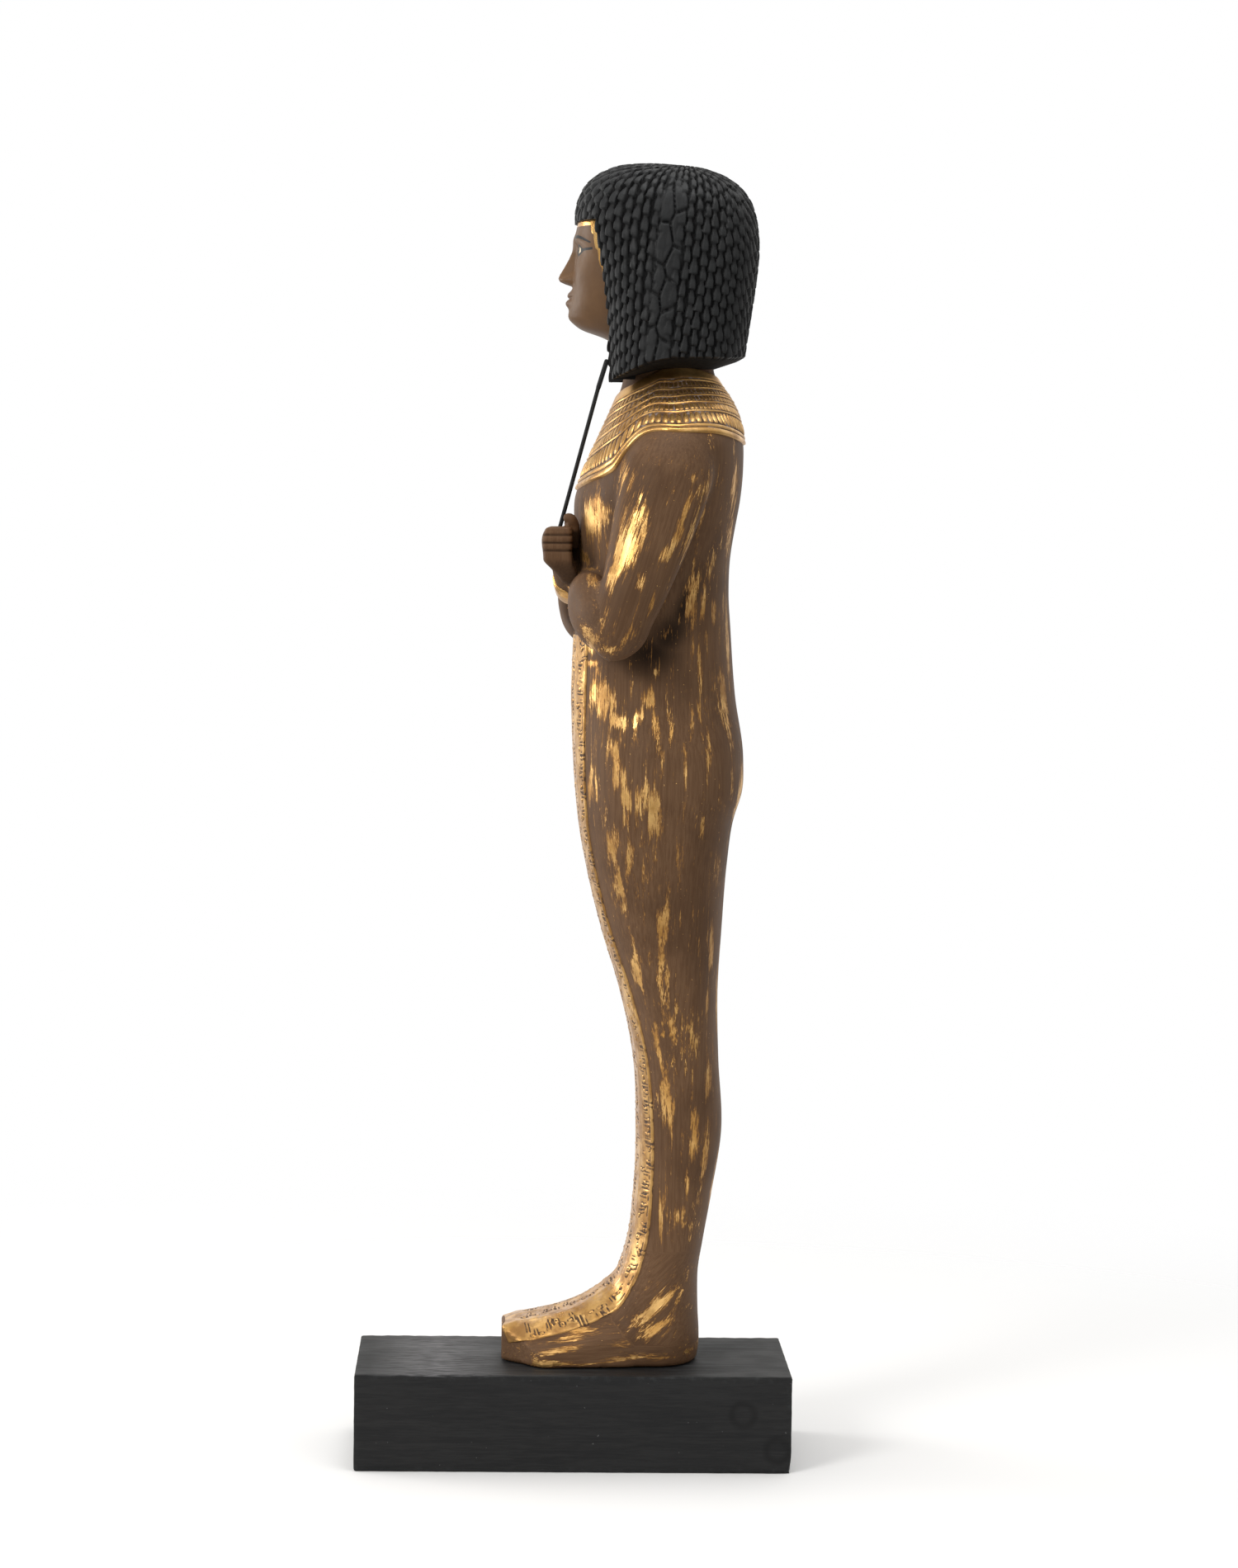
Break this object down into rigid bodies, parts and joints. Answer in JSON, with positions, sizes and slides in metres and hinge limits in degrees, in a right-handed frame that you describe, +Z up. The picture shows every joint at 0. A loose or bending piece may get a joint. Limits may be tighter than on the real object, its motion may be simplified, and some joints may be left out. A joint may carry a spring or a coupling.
{
  "type": "ushabti figurine",
  "caption": "Slim standing mummiform figurine with crossed arms, heavy curled wig, broad collar and a gilded band of writing, on a low rectangular block.",
  "frame": {"origin": "centre of the plinth's underside", "axes": "+Z up along the figure, -Y the way the figure faces, +X towards the figure's left side"},
  "size_m": [0.1478, 0.188, 0.5627],
  "materials": {
    "plinth": "black paint over wood, matt, brushed",
    "figure": "satin brown paint worn through to gold leaf, black wig",
    "rod": "black, satin"
  },
  "bodies": {
    "root": {"plinth": "plinth", "figure": "figure", "rod": "rod"}
  },
  "joints": []
}
